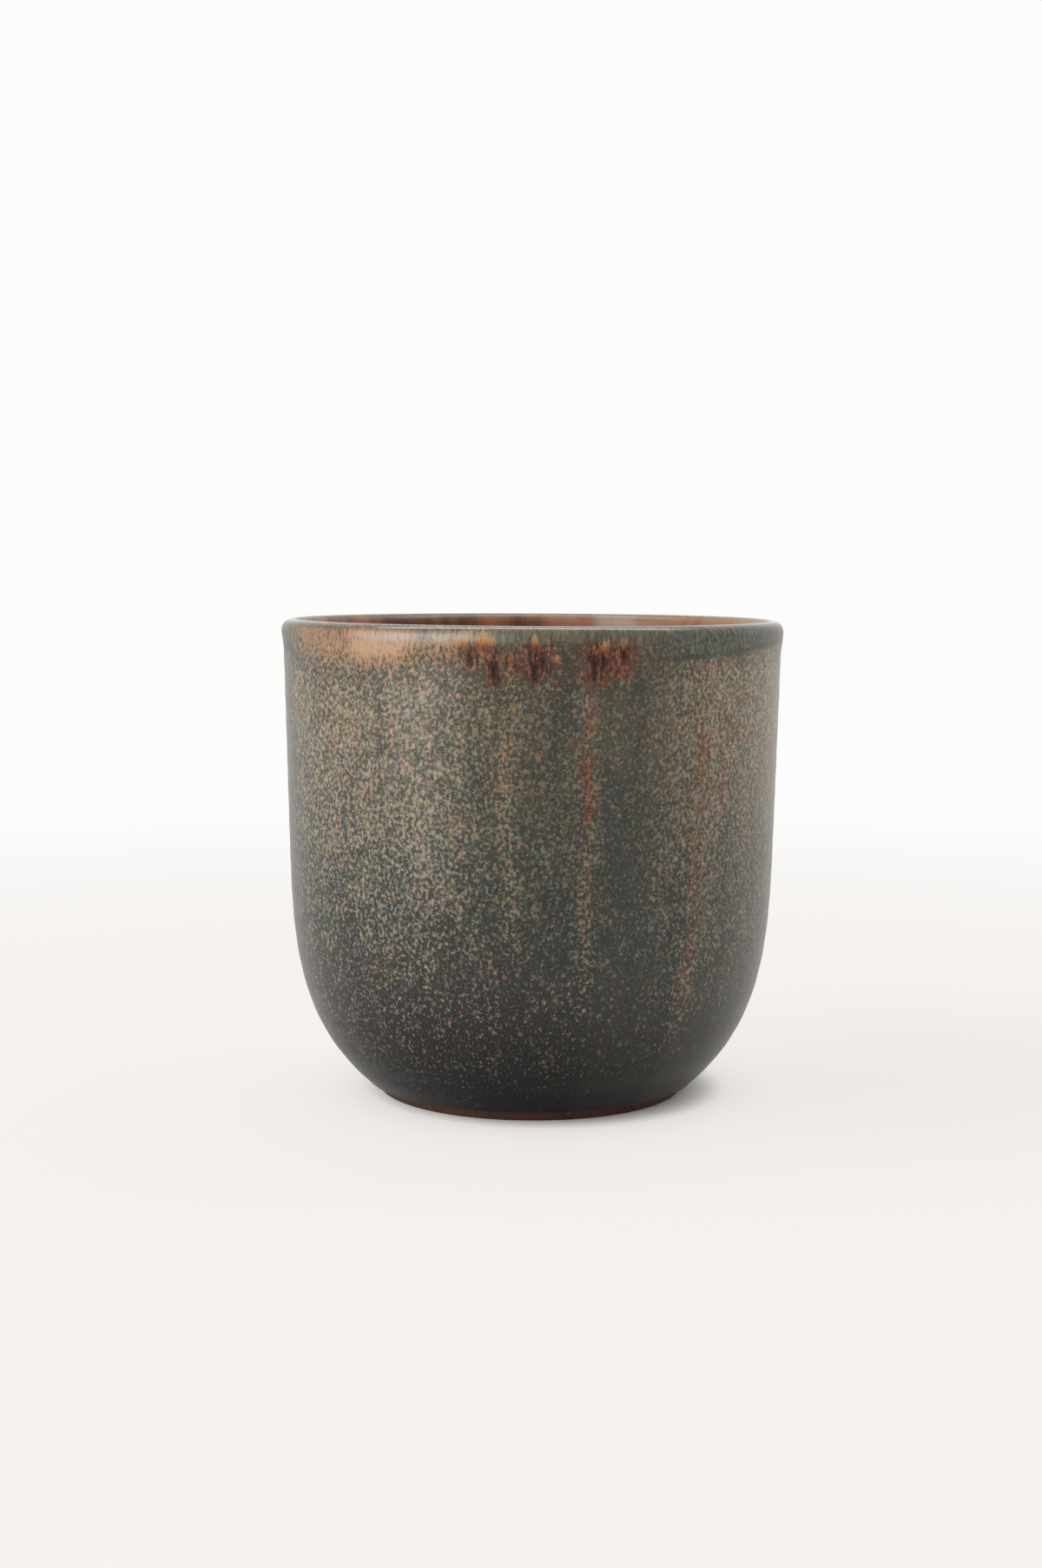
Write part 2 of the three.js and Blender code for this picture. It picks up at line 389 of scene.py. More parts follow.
def glazed_side():
    """The glazed side of the clay as radius and height: up the outside, over the lip, down to the floor."""
    lip_round = LIP_THICKNESS / 2
    lip_centre = np.array([RIM_RADIUS - lip_round * math.cos(WALL_LEAN), CUP_HEIGHT - lip_round])
    wall_top = lip_centre + polar(-WALL_LEAN, lip_round)
    wall_drop = wall_top[1] - BELLY_HEIGHT
    wall_foot = np.array([wall_top[0] - wall_drop * math.tan(WALL_LEAN), BELLY_HEIGHT])
    inner_foot = wall_foot - np.array([WALL_THICKNESS, 0])
    down = inner_foot - lip_centre
    down_angle = math.atan2(down[1], down[0]) % (2 * math.pi)
    inner_angle = down_angle - math.acos(lip_round / np.linalg.norm(down))
    inner_top = lip_centre + polar(inner_angle, lip_round)
    foot_top = np.array([FOOT_RADIUS + FOOT_FLARE, FOOT_HEIGHT])
    floor_height = FOOT_RECESS + FLOOR_THICKNESS
    floor_edge = np.array([FLOOR_RADIUS, floor_height])
    belly = eased(
        foot_top,
        foot_top + polar(BELLY_ANGLE, BELLY_FOOT_PULL),
        wall_foot - unit(wall_top - wall_foot) * BELLY_WALL_PULL,
        wall_foot,
    )
    lip_angles = np.linspace(-WALL_LEAN, inner_angle, 120)
    lip = np.array([lip_centre + polar(angle, lip_round) for angle in lip_angles])
    inner_belly = eased(
        inner_foot,
        inner_foot + unit(inner_foot - inner_top) * INNER_WALL_PULL,
        floor_edge + np.array([FLOOR_PULL, 0]),
        floor_edge,
    )
    floor = straight(floor_edge, np.array([0, floor_height]))
    parts = [belly, straight(wall_foot, wall_top), lip, straight(inner_top, inner_foot), inner_belly, floor]
    return np.concatenate([parts[0], *[part[1:] for part in parts[1:]]])


PATH = glazed_side()
PATH_STEPS = np.linalg.norm(np.diff(PATH, axis=0), axis=1)
PATH_DISTANCE = np.concatenate([[0], np.cumsum(PATH_STEPS)])
PATH_TANGENT = np.gradient(PATH, PATH_DISTANCE, axis=0)
PATH_NORMAL = np.stack([PATH_TANGENT[:, 1], -PATH_TANGENT[:, 0]], axis=1)
PATH_NORMAL /= np.linalg.norm(PATH_NORMAL, axis=1)[:, None]
PATH_END = PATH_DISTANCE[-1]
CREST = PATH_DISTANCE[np.argmax(PATH[:, 1])]


def over_clay(distance, lift):
    """Radius and height of points at distances along the glazed side, lifted off the clay."""
    radius, height = (np.interp(distance, PATH_DISTANCE, column) for column in PATH.T)
    out, up = (np.interp(distance, PATH_DISTANCE, column) for column in PATH_NORMAL.T)
    return np.maximum(radius + out * lift, 0), height + up * lift


# Shapes along the azimuth, the depth and the height


def smooth(value, low, high):
    """0 below low, 1 above high, and an even ease between them."""
    share = np.clip((value - low) / (high - low), 0, 1)
    return share * share * (3 - 2 * share)


def bell(value, middle, width):
    """1 at the middle, falling off on both sides by the width."""
    return np.exp(-(((value - middle) / width) ** 2))


def along(value, stops):
    """A number that changes with a value, through the stops of a list."""
    places, numbers = zip(*stops)
    return np.interp(value, places, numbers)


def stretch(depth, first, last, fades):
    """1 between two depths, easing in and out over fades given from each of them."""
    (in_start, in_end), (out_start, out_end) = fades
    started = smooth(depth, first + in_start, first + in_end)
    return started * (1 - smooth(depth, last + out_start, last + out_end))


def turn_between(azimuth, degrees):
    """Azimuth less a direction in degrees, as the shorter way round."""
    turn = azimuth - math.radians(degrees)
    return np.arctan2(np.sin(turn), np.cos(turn))


def near(azimuth, degrees, half_width, softness):
    """1 within a half width of a direction, all in degrees, falling to 0 over the softness."""
    away = np.abs(np.degrees(turn_between(azimuth, degrees)))
    return 1 - smooth(away, half_width - softness / 2, half_width + softness / 2)


def sides(azimuth, places):
    """Strength at an azimuth of the sides in a list."""
    return np.maximum.reduce([strength * near(azimuth, *place) for *place, strength in places])


def rim_reach(azimuth):
    """Depth to which the rim glaze hangs at an azimuth."""
    reach = np.zeros_like(azimuth)
    for degrees, widths, lengths in DRIPS:
        away = np.abs(turn_between(azimuth, degrees)) * RIM_RADIUS
        share = np.clip(away / (widths * DRIP_WIDTH / 2), 0, 1)
        reach = np.maximum(reach, lengths * DRIP_LENGTH * np.cos(share * math.pi / 2) ** 2)
    return RIM_GLAZE_DEPTH + reach


def strokes(azimuth, depth, places):
    """Strength of strokes of colour below the lip, and how far down its stroke each point lies."""
    strength = np.zeros_like(depth)
    share_down = np.zeros_like(depth)
    for turn in BURNT_TURNS:
        for degrees, width, first, last, most in places:
            away = np.degrees(turn_between(azimuth, degrees + turn))
            stroke = most * bell(away, 0, width) * stretch(depth, first, last, STROKE_FADES)
            share_down = np.where(stroke > strength, (depth - first) / (last - first), share_down)
            strength = np.maximum(strength, stroke)
    return strength, share_down


def smooth_bands(azimuth, depth):
    """Strength of the bands without specks, and of the dark line along each one's lower edge."""
    band = np.zeros_like(depth)
    line = np.zeros_like(depth)
    fade_start, fade_end = BAND_FADE
    for degrees, width, most, edge, slope in SMOOTH_BANDS:
        place = most * near(azimuth, degrees, width, BAND_SOFTNESS * width)
        lower = edge + slope * np.degrees(turn_between(azimuth, degrees))
        band = np.maximum(band, place * (1 - smooth(depth, lower + fade_start, lower + fade_end)))
        line = np.maximum(line, place * bell(depth, lower, BAND_LINE_WIDTH))
    return band, line


def glaze_runs(azimuth, depth, runs):
    """Strength of runs down the wall: soft lines that wander a little."""
    strength = np.zeros_like(depth)
    for number, (degrees, width, first, last, most) in enumerate(runs):
        wander = RUN_WANDER * np.sin(depth / RUN_WAVE + RUN_OFFSET * number)
        away = turn_between(azimuth, degrees) * RIM_RADIUS
        run = most * bell(away, wander, width) * stretch(depth, first, last, RUN_FADES)
        strength = np.maximum(strength, run)
    return strength


def unevenness(azimuth, distance):
    """How far the hand-thrown wall falls short of a true circle, never more than nothing."""
    oval = OVAL_SHARE * (1 + np.sin(2 * azimuth + 0.6))
    lobes = LOBES_SHARE * (1 + np.sin(3 * azimuth + 2.1 + distance / 30))
    ring_turn = distance * 2 * math.pi / RING_SPACING
    rings = RINGS_SHARE * (1 + np.sin(ring_turn + 0.6 * np.sin(azimuth + 1)))
    return -UNEVENNESS * (oval + lobes + rings)


# Values that the meshes carry for their materials


def flow_of(azimuth, distance):
    """Coordinates that run down each side of the cup: round it in the first two, along it in the third."""
    around = [RIM_RADIUS * np.sin(azimuth), -RIM_RADIUS * np.cos(azimuth)]
    return np.stack([*around, CREST - distance], axis=2)


def needed_level(cover):
    """The level that a noise of even spread passes over the given share of its area."""
    share = np.clip(cover, 0.002, 0.998)
    return LEVEL_MIDDLE - LEVEL_SPREAD * np.log(share / (1 - share)) / 1.7


def wall_values(azimuth, depth, height, band, band_line):
    """The crystals, the runs between them and the dark glaze below them, down the wall."""
    dark_side = sides(azimuth, DARK_SIDES)
    warm_side = sides(azimuth, WARM_SIDES)
    rust = glaze_runs(azimuth, depth, RUST_RUNS)
    tan = glaze_runs(azimuth, depth, TAN_RUNS)
    clear = glaze_runs(azimuth, depth, CLEAR_RUNS)
    drip_edge = bell(depth, rim_reach(azimuth) + 0.6, 1.3)

    # Dark sides have fewer crystals, on the front partly as painted shade
    cover = along(height, SPECKLE_COVER) * (1 - DARK_SIDE_LOSS * dark_side + WARM_SIDE_GAIN * warm_side)
    cover = cover + RUST_GAIN * rust + TAN_GAIN * tan - CLEAR_LOSS * clear
    cover = cover - DRIP_EDGE_LOSS * drip_edge - BAND_LINE_LOSS * band_line
    cover = cover - WARM_FOOT_LOSS * warm_side * (1 - smooth(height, 14, 30))

    # On the warm sides, partly painted shade low down and painted sheen high up
    glow = along(height, CRYSTAL_GLOW) + warm_side * along(height, WARM_SIDE_GLOW)
    # Dark sides dim the crystals, on the front partly as painted shade
    glow = glow * (1 - (0.38 + 0.08 * smooth(height, 34, 54)) * dark_side)
    pale_front = near(azimuth, *PALE_FRONT) * (1 - smooth(height, 16, 34))
    warmth = 0.1 + 0.2 * smooth(height, 44, 68) + 0.4 * np.maximum(warm_side, near(azimuth, *WARM_BACK))
    upper_mist = sides(azimuth, MISTY_SIDES) * smooth(height, 44, 60)
    blush = near(azimuth, *BLUSH_FRONT) * smooth(depth, 2, 4) * (1 - smooth(depth, 7, 12))
    return {
        "needed": needed_level(cover),
        "pale": glow + 0.15 * tan + 0.34 * pale_front,
        "mist_and_painted_sheen": np.maximum.reduce([upper_mist, 0.16 * warm_side, 0.1 * near(azimuth, *MISTY_FRONT)]),
        "warm": np.clip(warmth * smooth(height, 8, 60) + 0.6 * tan, 0, 1),
        "accents": (0.28 + 0.34 * smooth(height, 14, 50)) * smooth(height, 5, 14) * (1 - band),
        "rust": np.maximum(rust, 0.4 * blush),
        "clear": clear,
        "umber": near(azimuth, *UMBER_LEFT) * (1 - smooth(height, 14, 44)),
        "pool": 1 - smooth(height, 2, 30),
        # Painted shade: the glaze turns near black at the foot, where the floor's contact shadow falls
        "foot": 1 - smooth(height, 3, 10),
        "high": smooth(height, 34, 68),
    }


def washes_values(azimuth, depth, band, band_line):
    """The washes, bands and burnt streaks below the lip, and a painted sheen."""
    reach = rim_reach(azimuth)
    amber_side = sides(azimuth, AMBER_WASHES)
    tips, tips_down = strokes(azimuth, depth, ORANGE_TIPS)
    return {
        "amber": amber_side * smooth(depth, 0.1, 1.5) * (1 - smooth(depth, reach - 4.6, reach + 1.8)),
        "amber_light": 1 - 0.25 * near(azimuth, *DIM_LEFT),
        "veil": (1 - smooth(depth, 1.2, 3.4)) * (1 - 0.7 * amber_side) * (1 - band),
        # Painted sheen: pale where the window's reflection falls below the lip
        "painted_sheen": near(azimuth, *PAINTED_SHEEN_LEFT) * bell(depth, 1.9, 0.7),
        "lip_line": near(azimuth, *LINED_LEFT) * bell(depth, 0.95, 0.35),
        "band": band,
        "band_line": band_line,
        "burnt": strokes(azimuth, depth, BURNT_PATCHES)[0],
        "tips": tips,
        "tips_down": tips_down,
        "drips": strokes(azimuth, depth, BLACK_DRIPS)[0],
    }


def outer_values(azimuth, distance):
    """What the glaze outside looks like at each point."""
    depth = CREST - distance
    height = over_clay(distance, 0)[1]
    bands = smooth_bands(azimuth, depth)
    return {
        "flow": flow_of(azimuth, distance),
        **wall_values(azimuth, depth, height, *bands),
        **washes_values(azimuth, depth, *bands),
    }


def lip_values(azimuth, distance):
    """Where the rim glaze lies on the crest of the lip, and where it has passed to the inside."""
    crest = bell(distance, CREST, 1.1)
    return {
        "crest": crest,
        "lip_tint": crest * (1 - 0.6 * sides(azimuth, AMBER_WASHES)),
        "inside": smooth(distance, CREST - 0.3, CREST + 1.6),
    }


def inside_values(azimuth, distance):
    """The inner glaze's tone round the cup, and its one pale painted reflection below the lip."""
    return {
        "inner_tone": along(np.degrees(azimuth) % 360, INNER_TONES),
        "painted_reflection": near(azimuth, *PAINTED_REFLECTION_INSIDE) * (1 - smooth(distance - CREST, 3, 9)),
    }


# Meshes


def azimuths(columns):
    return np.arange(columns) / columns * 2 * math.pi


def grid_of(rows, columns):
    return np.broadcast_to(azimuths(columns), (rows, columns))


def face_corners(low_is_point, high_is_point):
    """The corners of a quad that make a face between two rings, of which one may be a single point."""
    if low_is_point:
        return [0, 2, 3]
    if high_is_point:
        return [0, 1, 2]
    return [0, 1, 2, 3]


def turned_mesh(name, radius, height, shares, strips, closed):
    """A mesh from rings of points: radius and height are rows by columns, and a closed one meets itself.

    Its map cuts the cup's round into strips, one above another, and runs up each by the rows' shares of it.
    Also returns the points kept, since a ring of no radius becomes one point.
    """
    rows, columns = radius.shape
    azimuth = azimuths(columns)
    points = np.stack([radius * np.sin(azimuth), -radius * np.cos(azimuth), height], axis=2) * MM
    index = np.arange(rows * columns).reshape(rows, columns)
    is_point = radius.max(axis=1) == 0
    index[is_point] = index[is_point, :1]
    beside = np.roll(index, -1, axis=1)
    strip_columns = columns // strips
    strip, place = np.divmod((np.arange(columns) + strip_columns // 2) % columns, strip_columns)
    left = MAP_MARGIN + (1 - 2 * MAP_MARGIN) * place / strip_columns
    right = MAP_MARGIN + (1 - 2 * MAP_MARGIN) * (place + 1) / strip_columns
    faces = []
    places = []
    for row in range(rows if closed else rows - 1):
        above = (row + 1) % rows
        corners = face_corners(is_point[row], is_point[above])
        low = (strip + shares[row]) / strips
        high = (strip + (shares[above] if above else 1 - MAP_MARGIN)) / strips
        quad = np.stack([index[row], beside[row], beside[above], index[above]], axis=1)
        across = np.stack([left, right, right, left], axis=1)
        up = np.stack([low, low, high, high], axis=1)
        faces.append(quad[:, corners])
        places.append(np.stack([across, up], axis=2)[:, corners].reshape(-1, 2))
    kept = np.unique(index)
    renumbered = np.searchsorted(kept, np.arange(rows * columns))
    mesh = bpy.data.meshes.new(name)
    mesh.from_pydata(
        points.reshape(-1, 3)[kept].tolist(),
        [],
        [face for ring in faces for face in renumbered[ring].tolist()],
    )
    layer = mesh.uv_layers.new(name=MAP_NAME)
    layer.uv.foreach_set("vector", np.concatenate(places).astype(np.float32).ravel())
    mesh.shade_smooth()
    mesh.set_sharp_from_angle(angle=SHARP_ANGLE)
    piece = bpy.data.objects.new(name, mesh)
    bpy.context.scene.collection.objects.link(piece)
    return piece, kept


def map_shares(first_span, first_count, second_span, second_count):
    """Rows' shares of a map's strip: those of one side evenly over its span, then those of the other."""
    return np.concatenate([np.linspace(*first_span, first_count), np.linspace(*second_span, second_count)])


def add_values(piece, kept, values):
    """Stores named values on a piece's points, for its material."""
    for name, value in values.items():
        flat = value.reshape(-1, *value.shape[2:])[kept].astype(np.float32)
        kind = "FLOAT_VECTOR" if flat.ndim == 2 else "FLOAT"
        attribute = piece.data.attributes.new(name, kind, "POINT")
        attribute.data.foreach_set("vector" if flat.ndim == 2 else "value", flat.ravel())


def outer_glaze_piece():
    """The speckled coat on the outside, from its roll above the foot to the crest of the lip."""
    top = CREST - CREST_GAP
    edge = GLAZE_STOP + GLAZE_EDGE * np.linspace(0, 1, OUTER_EDGE_ROWS) ** 1.5
    wall = np.linspace(GLAZE_STOP + GLAZE_EDGE, top, OUTER_WALL_ROWS)[1:]
    free = np.concatenate([edge, wall])
    fused = np.linspace(GLAZE_STOP + GLAZE_UNDERCUT, top, OUTER_FUSED_ROWS)[::-1]
    distance = np.concatenate([free, fused])[:, None] * np.ones(COLUMNS)
    azimuth = grid_of(len(distance), COLUMNS)
    share = np.clip((distance - GLAZE_STOP) / GLAZE_EDGE, 0, 1)
    rounding = np.sqrt(np.clip(1 - (1 - share) ** 2, 0, 1))
    roll = GLAZE_ROLL * np.exp(-(distance - GLAZE_STOP) / GLAZE_ROLL_REACH)
    relief = unevenness(azimuth, distance) + RUST_RELIEF * glaze_runs(azimuth, CREST - distance, RUST_RUNS)
    lift = BOND_LIFT + (GLAZE_LIFT - BOND_LIFT + roll + relief) * rounding
    lift[len(free):] = BOND_LIFT
    radius, height = over_clay(distance, lift)
    shares = map_shares(FREE_SPAN, len(free), FUSED_SPAN, len(fused))
    piece, kept = turned_mesh("speckled_outer_glaze", radius, height, shares, WALL_STRIPS, closed=True)
    add_values(piece, kept, outer_values(azimuth, distance))
    return piece


def rim_glaze_piece():
    """The second dip over the lip: thick on the lip, thin at its edges, and hanging in drips outside."""
    around = np.ones(RIM_COLUMNS)
    start = CREST - rim_reach(azimuths(RIM_COLUMNS))
    end = CREST + RIM_GLAZE_INNER_DEPTH
    lip_start = CREST - LIP_REACH
    lip_end = CREST + LIP_REACH
    skirt = start + (lip_start - start) * np.linspace(0, 1, RIM_SKIRT_ROWS)[:, None]
    lip = np.linspace(lip_start, lip_end, RIM_LIP_ROWS)[1:, None] * around
    inside = np.linspace(lip_end, end, RIM_INNER_ROWS)[1:, None] * around
    free = np.concatenate([skirt, lip, inside])
    fused = free[::-RIM_FUSED_STEP][1:-1]
    distance = np.concatenate([free, fused])
    azimuth = grid_of(len(distance), RIM_COLUMNS)
    feather = smooth(distance - start, 0, RIM_FEATHER) * smooth(end - distance, 0, RIM_FEATHER)
    fused_lift = GLAZE_LIFT + unevenness(azimuth, distance) - RIM_SINK
    lift = fused_lift + RIM_SINK + RIM_EDGE + (RIM_LIFT - GLAZE_LIFT - RIM_EDGE) * feather
    lift[len(free):] = fused_lift[len(free):]
    radius, height = over_clay(distance, lift)
    shares = map_shares(FREE_SPAN, len(free), FUSED_SPAN, len(fused))
    piece, kept = turned_mesh("dripping_rim_glaze", radius, height, shares, RIM_STRIPS, closed=True)
    add_values(piece, kept, outer_values(azimuth, distance))
    add_values(piece, kept, lip_values(azimuth, distance))
    add_values(piece, kept, inside_values(azimuth, distance))
    return piece


def liner_glaze_piece():
    """The brown coat inside, from the crest of the lip to the middle of the floor."""
    top = CREST + CREST_GAP
    free = np.linspace(top, PATH_END, LINER_ROWS)
    fused = np.linspace(top, PATH_END, LINER_FUSED_ROWS)[::-1]
    distance = np.concatenate([fused, free])[:, None] * np.ones(COLUMNS)
    azimuth = grid_of(len(distance), COLUMNS)
    lift = GLAZE_LIFT + unevenness(azimuth, distance)
    lift[: len(fused)] = BOND_LIFT
    radius, height = over_clay(distance, lift)
    radius[[0, -1]] = 0
    shares = 1 - map_shares(FREE_SPAN, len(free), FUSED_SPAN, len(fused))[::-1]
    piece, kept = turned_mesh("brown_liner_glaze", radius, height, shares, WALL_STRIPS, closed=False)
    add_values(piece, kept, {"flow": flow_of(azimuth, distance), "pool": 1 - smooth(height, 8, 36)})
    add_values(piece, kept, inside_values(azimuth, distance))
    return piece


def clay_piece():
    """The fired clay: the hollow and the turned foot ring below, then the glazed side."""
    ring_outer = FOOT_RADIUS - FOOT_BEVEL
    ring_inner = ring_outer - FOOT_RING_WIDTH
    corners = np.array([
        [0, FOOT_RECESS],
        [ring_inner - RECESS_SLOPE, FOOT_RECESS],
        [ring_inner, 0],
        [ring_outer, 0],
        [FOOT_RADIUS, FOOT_BEVEL],
        [FOOT_RADIUS + FOOT_FLARE, FOOT_HEIGHT],
    ])
    lines = [straight(a, b, FOOT_LINE_ROWS)[:-1] for a, b in zip(corners, corners[1:])]
    under = np.concatenate(lines)
    side = np.stack(over_clay(np.linspace(0, PATH_END, CLAY_SIDE_ROWS), 0), axis=1)
    profile = np.concatenate([under, side])
    profile[[0, -1], 0] = 0
    radius = profile[:, :1] * np.ones(CLAY_COLUMNS)
    height = profile[:, 1:] * np.ones(CLAY_COLUMNS)
    shares = map_shares(UNDERSIDE_SPAN, len(under), GLAZED_SPAN, len(side))
    piece, kept = turned_mesh("bare_clay_body", radius, height, shares, WALL_STRIPS, closed=False)
    add_values(piece, kept, {"flow": np.stack([radius, np.zeros_like(radius), height], axis=2)})
    return piece


# Node trees


def srgb(red, green, blue):
    """A colour as seen, 0 to 255, as the linear colour that a shader takes."""
    def linear(channel):
        share = channel / 255
        return share / 12.92 if share <= 0.04045 else ((share + 0.055) / 1.055) ** 2.4
    return (linear(red), linear(green), linear(blue), 1)


class Nodes:
    """A node tree, with short calls for the nodes that do its sums."""

    def __init__(self, tree):
        self.tree = tree

    def put(self, socket, value):
        """Links another node's output to a socket, or sets the socket's own number or colour."""
        if isinstance(value, bpy.types.NodeSocket):
            self.tree.links.new(value, socket)
        else:
            socket.default_value = value

    def node(self, kind, *values, **settings):
        """A new node with its settings, and with values put into its first sockets."""
        made = self.tree.nodes.new(kind)
        for name, setting in settings.items():
            setattr(made, name, setting)
        for socket, value in zip(made.inputs, values):
            self.put(socket, value)
        return made

    def math(self, operation, first, second):
        return self.node("ShaderNodeMath", first, second, operation=operation).outputs[0]

    def plus(self, first, second):
        return self.math("ADD", first, second)

    def minus(self, first, second):
        return self.math("SUBTRACT", first, second)

    def times(self, first, second):
        return self.math("MULTIPLY", first, second)

    def mixed(self, first, first_share, second):
        """Two values added in shares that make one."""
        return self.plus(self.times(first, first_share), self.times(second, 1 - first_share))

    def vector_math(self, operation, *vectors):
        return self.node("ShaderNodeVectorMath", *vectors, operation=operation)

    def scaled(self, vector, scale):
        return self.vector_math("MULTIPLY", vector, scale).outputs["Vector"]

    def away(self, place, centre):
        return self.vector_math("DISTANCE", place, centre).outputs["Value"]

    def remap(self, value, low, high, to_low=0, to_high=1, ease="SMOOTHSTEP"):
        """A value brought from one span to another, and held at its ends."""
        spans = (low, high, to_low, to_high)
        return self.node("ShaderNodeMapRange", value, *spans, interpolation_type=ease).outputs[0]

    def seen_directly(self):
        """1 where a ray comes straight from the camera, or by a reflection or through something clear."""
        path = self.node("ShaderNodeLightPath")
        seen = self.math("MAXIMUM", path.outputs["Is Camera Ray"], path.outputs["Is Glossy Ray"])
        return self.math("MAXIMUM", seen, path.outputs["Is Transmission Ray"])


class Look(Nodes):
    """A material, with a short call for each layer of colour."""

    def __init__(self, name):
        self.material = bpy.data.materials.new(name)
        self.material.use_nodes = True
        super().__init__(self.material.node_tree)
        self.shader = self.tree.nodes["Principled BSDF"]

    def stored(self, name):
        made = self.node("ShaderNodeAttribute", attribute_name=name)
        return made.outputs["Vector" if name == "flow" else "Fac"]

    def put(self, socket, value):
        """As for any nodes, and a name stands for the value stored under it on the mesh's points."""
        super().put(socket, self.stored(value) if isinstance(value, str) else value)

    def noise(self, vector, scale, detail=3, roughness=0.6, output="Fac"):
        made = self.node("ShaderNodeTexNoise", vector)
        made.inputs["Scale"].default_value = scale
        made.inputs["Detail"].default_value = detail
        made.inputs["Roughness"].default_value = roughness
        return made.outputs[output]

    def spots(self, vector, scale):
        """Uneven soft spots in about one cell out of four, and a tone that differs from spot to spot."""
        wander = self.noise(vector, 1.6, 2, output="Color")
        warped = self.vector_math("MULTIPLY_ADD", wander, (1.4, 1.4, 1.4), vector).outputs["Vector"]
        cells = self.node("ShaderNodeTexVoronoi", warped)
        cells.inputs["Scale"].default_value = scale
        chance = self.node("ShaderNodeSeparateColor", cells.outputs["Color"])
        picked = self.remap(chance.outputs["Red"], 0.66, 0.9)
        spot = self.remap(cells.outputs["Distance"], 0.16, 0.42, 1, 0)
        return self.times(spot, picked), chance.outputs["Green"]

    def frayed(self, *noises):
        """A sum of noises, each with the least and the most that it adds."""
        total, *others = [self.remap(noise, *NOISE_SPAN, least, most) for noise, least, most in noises]
        for other in others:
            total = self.plus(total, other)
        return total

    def broken(self, name, edges):
        """A stored wash whose edges are broken up by noise."""
        wash = self.stored(name)
        return self.times(self.remap(self.plus(wash, edges), 0.1, 0.9), self.remap(wash, 0, 0.3))

    def blend(self, share, first, second, most=1):
        """One colour turning into another by a share, and at most as far as is given."""
        factor = share if most == 1 else self.times(share, most)
        made = self.node("ShaderNodeMix", factor, data_type="RGBA")
        self.put(made.inputs[6], first)
        self.put(made.inputs[7], second)
        return made.outputs[2]

    def dimmed(self, colour, share):
        made = self.vector_math("SCALE", colour)
        self.put(made.inputs["Scale"], share)
        return made.outputs["Vector"]

    def tinted(self, colour, vector, scale, amount):
        """A colour whose red and blue wander apart by noise, and its green by less."""
        amounts = (amount, amount * GREEN_SHARE, amount)
        least = [1 - channel / 2 for channel in amounts]
        wander = self.noise(vector, scale, 2, output="Color")
        tint = self.vector_math("MULTIPLY_ADD", wander, amounts, least).outputs["Vector"]
        return self.scaled(colour, tint)

    def ramp(self, value, stops):
        """A linear colour that changes with a value, through the stops of a list."""
        made = self.node("ShaderNodeValToRGB", value)
        elements = made.color_ramp.elements
        while len(elements) < len(stops):
            elements.new(0.5)
        for element, (place, colour) in zip(elements, stops):
            element.position = place
            element.color = colour
        return made.outputs["Color"]

    def palette(self, value, stops):
        """A ramp whose colours are given as seen."""
        return self.ramp(value, [(place, srgb(*colour)) for place, colour in stops])

    def finish(self, colour, roughness, height, relief, gloss, skin=0):
        """Joins the layers to the shader. Relief is the depth in millimetres of a height of one."""
        bump = self.node("ShaderNodeBump")
        bump.inputs["Strength"].default_value = 1
        bump.inputs["Distance"].default_value = relief * MM
        self.put(bump.inputs["Height"], height)
        layers = {
            "Base Color": colour,
            "Roughness": roughness,
            "Specular IOR Level": gloss,
            "Coat Weight": skin,
            "Coat Roughness": SKIN_ROUGHNESS,
            "Normal": bump.outputs["Normal"],
        }
        for name, layer in layers.items():
            self.put(self.shader.inputs[name], layer)
        return self.material


# Layers of the glazes


def outside_noises(look):
    """The noises that break up the outside: slow and fine ones, and ones drawn out down the wall."""
    flow = look.stored("flow")
    drawn_out = look.scaled(flow, (1, 1, 0.12))
    return SimpleNamespace(
        flow=flow,
        slow=look.noise(flow, 0.3),
        drift=look.noise(look.scaled(flow, (1, 1, 0.1)), 0.22),
        streak=look.noise(drawn_out, 1.3),
        hair=look.noise(drawn_out, 3.2, 3, 0.65),
        grain=look.noise(look.scaled(flow, (1, 1, 0.85)), 1.9, 2, 0.55),
        fine=look.noise(flow, 4.4, 2),
        tone=look.noise(flow, 1.5, 2),
        patches=look.noise(look.scaled(flow, (1, 1, 0.4)), 1.5),
    )


def dark_ground(look, noises, rust):
    """The dark glaze under the crystals: olive high up, greenish low down, and painted shade near black at
    the foot.
    """
    tone = look.mixed(noises.slow, 0.5, noises.drift)
    low = look.palette(tone, [(0.35, (36, 43, 39)), (0.5, (43, 48, 42)), (0.65, (56, 53, 43))])
    high = look.palette(tone, [(0.35, (53, 53, 41)), (0.5, (64, 58, 43)), (0.65, (75, 60, 44))])
    colour = look.blend("high", low, high)
    colour = look.blend("umber", colour, srgb(47, 41, 40))
    colour = look.blend("clear", colour, srgb(39, 48, 43), 0.7)
    colour = look.blend("pool", colour, srgb(26, 29, 29))
    # Painted shade at the foot, near black
    colour = look.blend("foot", colour, srgb(4, 5, 5))
    colour = look.blend(rust, colour, srgb(84, 44, 34), 0.6)
    colour = look.tinted(colour, noises.flow, 2.6, 1)
    return look.dimmed(colour, look.remap(noises.fine, 0.35, 0.65, 0.55, 1.3))


def crystal_colour(look, noises, rust):
    """Beige crystals, orange on the warm sides and red along the rust runs."""
    tone = noises.tone
    beige = look.palette(tone, [(0.3, (170, 150, 124)), (0.48, (164, 151, 131)), (0.66, (153, 150, 138))])
    orange = look.palette(tone, [(0.32, (169, 114, 74)), (0.45, (170, 145, 109)), (0.6, (156, 152, 131))])
    red = look.palette(tone, [(0.36, (84, 34, 28)), (0.5, (144, 74, 50)), (0.62, (170, 116, 78))])
    colour = look.dimmed(look.blend("warm", beige, orange), "pale")
    return look.blend(rust, colour, red, 0.85)


